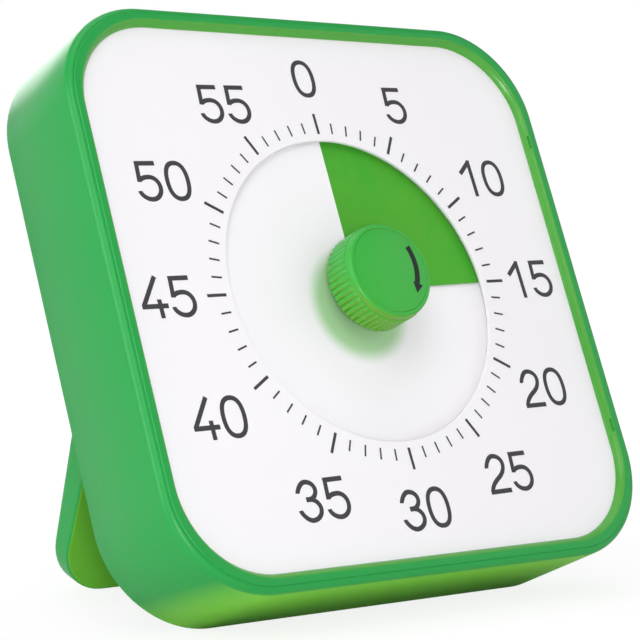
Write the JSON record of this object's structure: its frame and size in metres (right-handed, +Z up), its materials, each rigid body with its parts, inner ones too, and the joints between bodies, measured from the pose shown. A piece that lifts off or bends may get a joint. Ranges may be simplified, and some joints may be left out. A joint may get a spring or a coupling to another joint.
{
  "type": "visual countdown timer",
  "caption": "Square desk timer: a film in a round window shows the minutes left, set by a ribbed knob; it leans back on a wide leg that folds into its back.",
  "frame": {"origin": "middle of the timer's footprint, on the surface it stands on", "axes": "+Z up, +X to the right as one reads the dial, +Y towards the back; the dial faces -Y and leans back by 23 degrees"},
  "size_m": [0.14, 0.0908, 0.14],
  "materials": {
    "green_shell": "moulded, slightly glossy",
    "green_knob": "moulded, slightly glossy",
    "green_film": "satin sheet",
    "white_dial": "printed satin sheet",
    "white_shutter": "satin sheet",
    "white_inner": "moulded",
    "black_case": "moulded",
    "gear_plastic": "moulded",
    "magnet": "sintered",
    "steel": "plain",
    "copper_wire": "enamelled wire",
    "bronze": "stamped",
    "board": "laminate",
    "resin": "cast drop",
    "battery_jacket": "plain sleeve",
    "nickel": "nickel plated",
    "brass_can": "moulded"
  },
  "bodies": {
    "housing": {"front_housing": "green_shell", "dial_panel": "white_dial", "dial_carrier": "white_inner", "white_shutter": "white_shutter", "movement_front": "black_case", "movement_rear": "black_case", "stator": "steel", "coil_core": "steel", "coil_bobbin": "black_case", "coil_winding": "copper_wire", "alarm_contact": "bronze", "circuit_board": "board", "quartz_crystal": "steel", "driver_chip": "resin", "back_cover": "green_shell", "battery_cell": "battery_jacket", "battery_button": "nickel", "contact_plate": "nickel", "contact_spring": "nickel", "buzzer": "brass_can", "switch_body": "black_case", "hinge_pins": "steel", "case_screws": "steel", "movement_screws": "steel"},
    "knob": {"knob": "green_knob", "knob_cap": "green_knob", "spindle": "white_inner", "clutch_washer": "steel", "alarm_cam": "gear_plastic"},
    "film": {"timer_film": "green_film", "film_hub": "white_inner"},
    "leg": {"leg_shell": "green_shell", "leg_plate": "green_shell"},
    "battery_door": {"battery_door": "green_shell"},
    "switch_slider": {"switch_slider": "black_case"},
    "rotor": {"rotor": "magnet"},
    "second_wheel": {"second_wheel": "gear_plastic"},
    "third_wheel": {"third_wheel": "gear_plastic"},
    "centre_wheel": {"centre_wheel": "gear_plastic"}
  },
  "joints": [
    {"name": "knob_turn", "type": "hinge", "parent": "housing", "child": "knob", "pos_m": [0, -0.01655, 0.0751], "axis": [0, 0.9205, -0.3907], "range_deg": [-88, 272]},
    {"name": "film_climb", "type": "slide", "parent": "knob", "child": "film", "axis": [0, -0.9205, 0.3907], "range_m": [-0.0003, 0.00091]},
    {"name": "leg_fold", "type": "hinge", "parent": "housing", "child": "leg", "pos_m": [0, 0.01616, 0.09022], "axis": [1, 0, 0], "range_deg": [-39.1, 0]},
    {"name": "battery_door_open", "type": "hinge", "parent": "housing", "child": "battery_door", "pos_m": [0, 0.02352, 0.10041], "axis": [1, 0, 0], "range_deg": [-75, 0]},
    {"name": "switch_slide", "type": "slide", "parent": "housing", "child": "switch_slider", "axis": [1, 0, 0], "range_m": [0, 0.004]},
    {"name": "rotor_spin", "type": "hinge", "parent": "housing", "child": "rotor", "pos_m": [-0.01221, -0.0031, 0.08118], "axis": [0, 0.9205, -0.3907], "continuous": true},
    {"name": "second_wheel_spin", "type": "hinge", "parent": "housing", "child": "second_wheel", "pos_m": [-0.01577, -0.00738, 0.0711], "axis": [0, 0.9205, -0.3907], "continuous": true},
    {"name": "third_wheel_spin", "type": "hinge", "parent": "housing", "child": "third_wheel", "pos_m": [-0.01018, -0.01132, 0.06182], "axis": [0, 0.9205, -0.3907], "continuous": true},
    {"name": "centre_wheel_spin", "type": "hinge", "parent": "housing", "child": "centre_wheel", "pos_m": [0, -0.00734, 0.07119], "axis": [0, 0.9205, -0.3907], "continuous": true}
  ],
  "couplings": [
    {"joint": "film_climb", "follows": "knob_turn", "m_per_rad": 0.00019099},
    {"joint": "second_wheel_spin", "follows": "rotor_spin", "ratio": -0.33333},
    {"joint": "third_wheel_spin", "follows": "rotor_spin", "ratio": 0.11111},
    {"joint": "centre_wheel_spin", "follows": "rotor_spin", "ratio": -0.027778}
  ]
}
